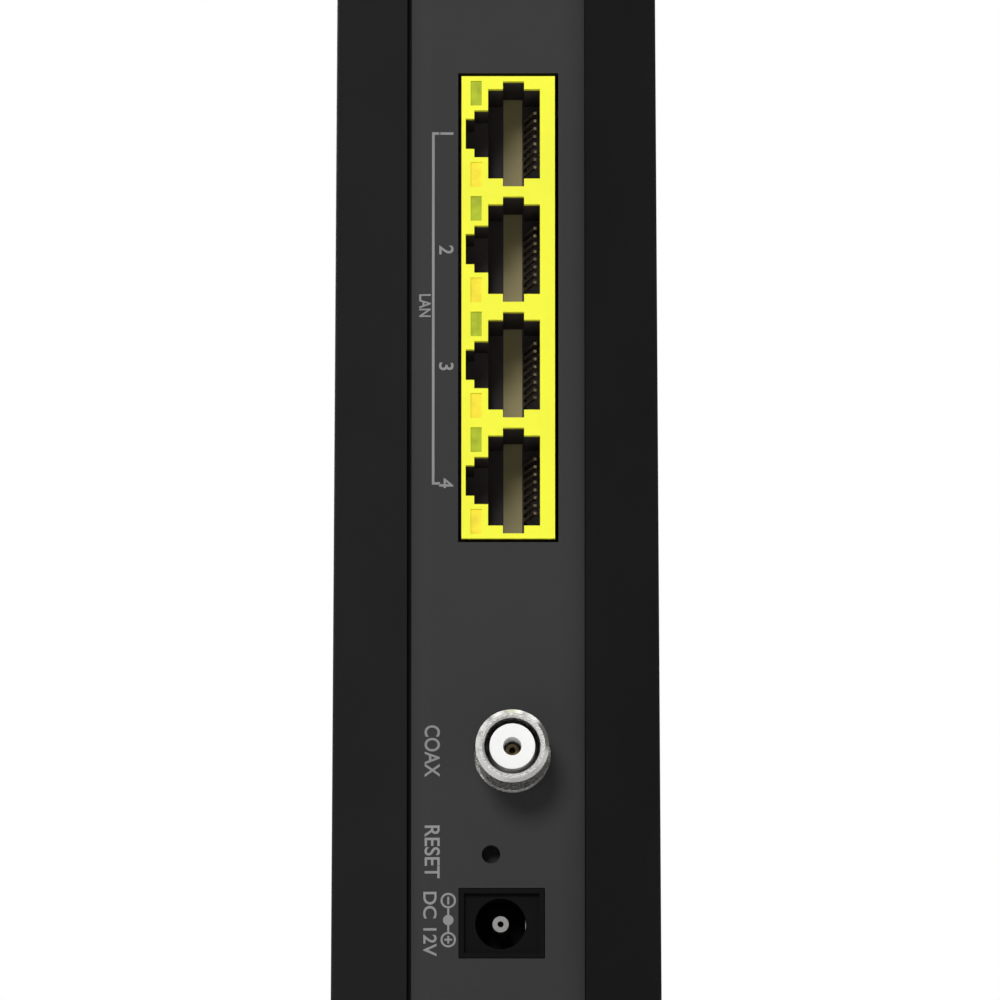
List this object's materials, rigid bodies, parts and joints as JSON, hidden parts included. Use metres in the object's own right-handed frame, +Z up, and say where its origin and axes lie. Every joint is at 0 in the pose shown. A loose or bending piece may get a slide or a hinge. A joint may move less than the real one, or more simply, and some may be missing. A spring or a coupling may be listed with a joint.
{
  "type": "wireless router",
  "caption": "Upright cable modem router: beveled side shells round a narrow band, with ganged network sockets, coax thread, reset hole and power inlet at the rear.",
  "frame": {"origin": "centre of the bounding box at table height, under the rubber feet", "axes": "+Z up; -Y towards the status lights; +Y towards the sockets; X across the width"},
  "size_m": [0.057, 0.16, 0.2],
  "materials": {
    "shell_plastic": "satin",
    "panel_plastic": "fine texture",
    "fascia_gloss": "gloss",
    "foot_plastic": "satin",
    "rubber": "matte",
    "screw_steel": "zinc plated",
    "socket_yellow": "moulded",
    "lens_green": "translucent",
    "lens_amber": "translucent",
    "contact_gold": "gold plated",
    "nickel": "nickel plated",
    "insulator_white": "satin",
    "inlet_black": "satin",
    "light_clear": "clear",
    "button_black": "satin",
    "board_green": "solder mask",
    "chip_black": "matte",
    "pad_grey": "matte",
    "fin_aluminium": "extruded",
    "can_steel": "tinned",
    "capacitor_sleeve": "sleeved",
    "carrier_brown": "satin",
    "lead_grey": "matte"
  },
  "bodies": {
    "housing": {"antenna_boards": "board_green", "antenna_leads": "lead_grey", "board_screws": "screw_steel", "bottom_plate": "shell_plastic", "capacitors": "capacitor_sleeve", "coax_barrel": "nickel", "coax_contact": "contact_gold", "coax_insulator": "insulator_white", "crystal": "can_steel", "foot_screws": "screw_steel", "front_fascia": "fascia_gloss", "heatsink": "fin_aluminium", "inductors": "chip_black", "lan_bezel": "socket_yellow", "lan_carriers": "carrier_brown", "lan_contacts": "contact_gold", "lan_housing": "inlet_black", "lan_lights_amber": "lens_amber", "lan_lights_green": "lens_green", "lan_magnetics": "chip_black", "left_shell": "shell_plastic", "light_pipe": "light_clear", "main_board": "board_green", "memory_chips": "chip_black", "modem_chip": "chip_black", "power_housing": "inlet_black", "power_pin": "nickel", "power_spring": "nickel", "radio_cans": "can_steel", "radio_chips": "chip_black", "rear_panel": "panel_plastic", "reset_switch": "chip_black", "right_shell": "shell_plastic", "rubber_feet": "rubber", "side_screws": "screw_steel", "stand_foot": "foot_plastic", "status_lights": "insulator_white", "thermal_pad": "pad_grey", "top_grille": "shell_plastic", "tuner_can": "can_steel", "wps_switch": "chip_black"},
    "setup_button": {"wps_button": "button_black", "wps_plunger": "button_black"},
    "reset_button": {"reset_plunger": "button_black"}
  },
  "joints": [
    {"name": "setup_press", "type": "slide", "parent": "housing", "child": "setup_button", "axis": [0, 1, 0], "range_m": [0, 0.0005], "stiffness_N_per_m": 800, "springref_m": -0.0005},
    {"name": "reset_press", "type": "slide", "parent": "housing", "child": "reset_button", "axis": [0, -1, 0], "range_m": [0, 0.0003], "stiffness_N_per_m": 1000, "springref_m": -0.0004}
  ]
}
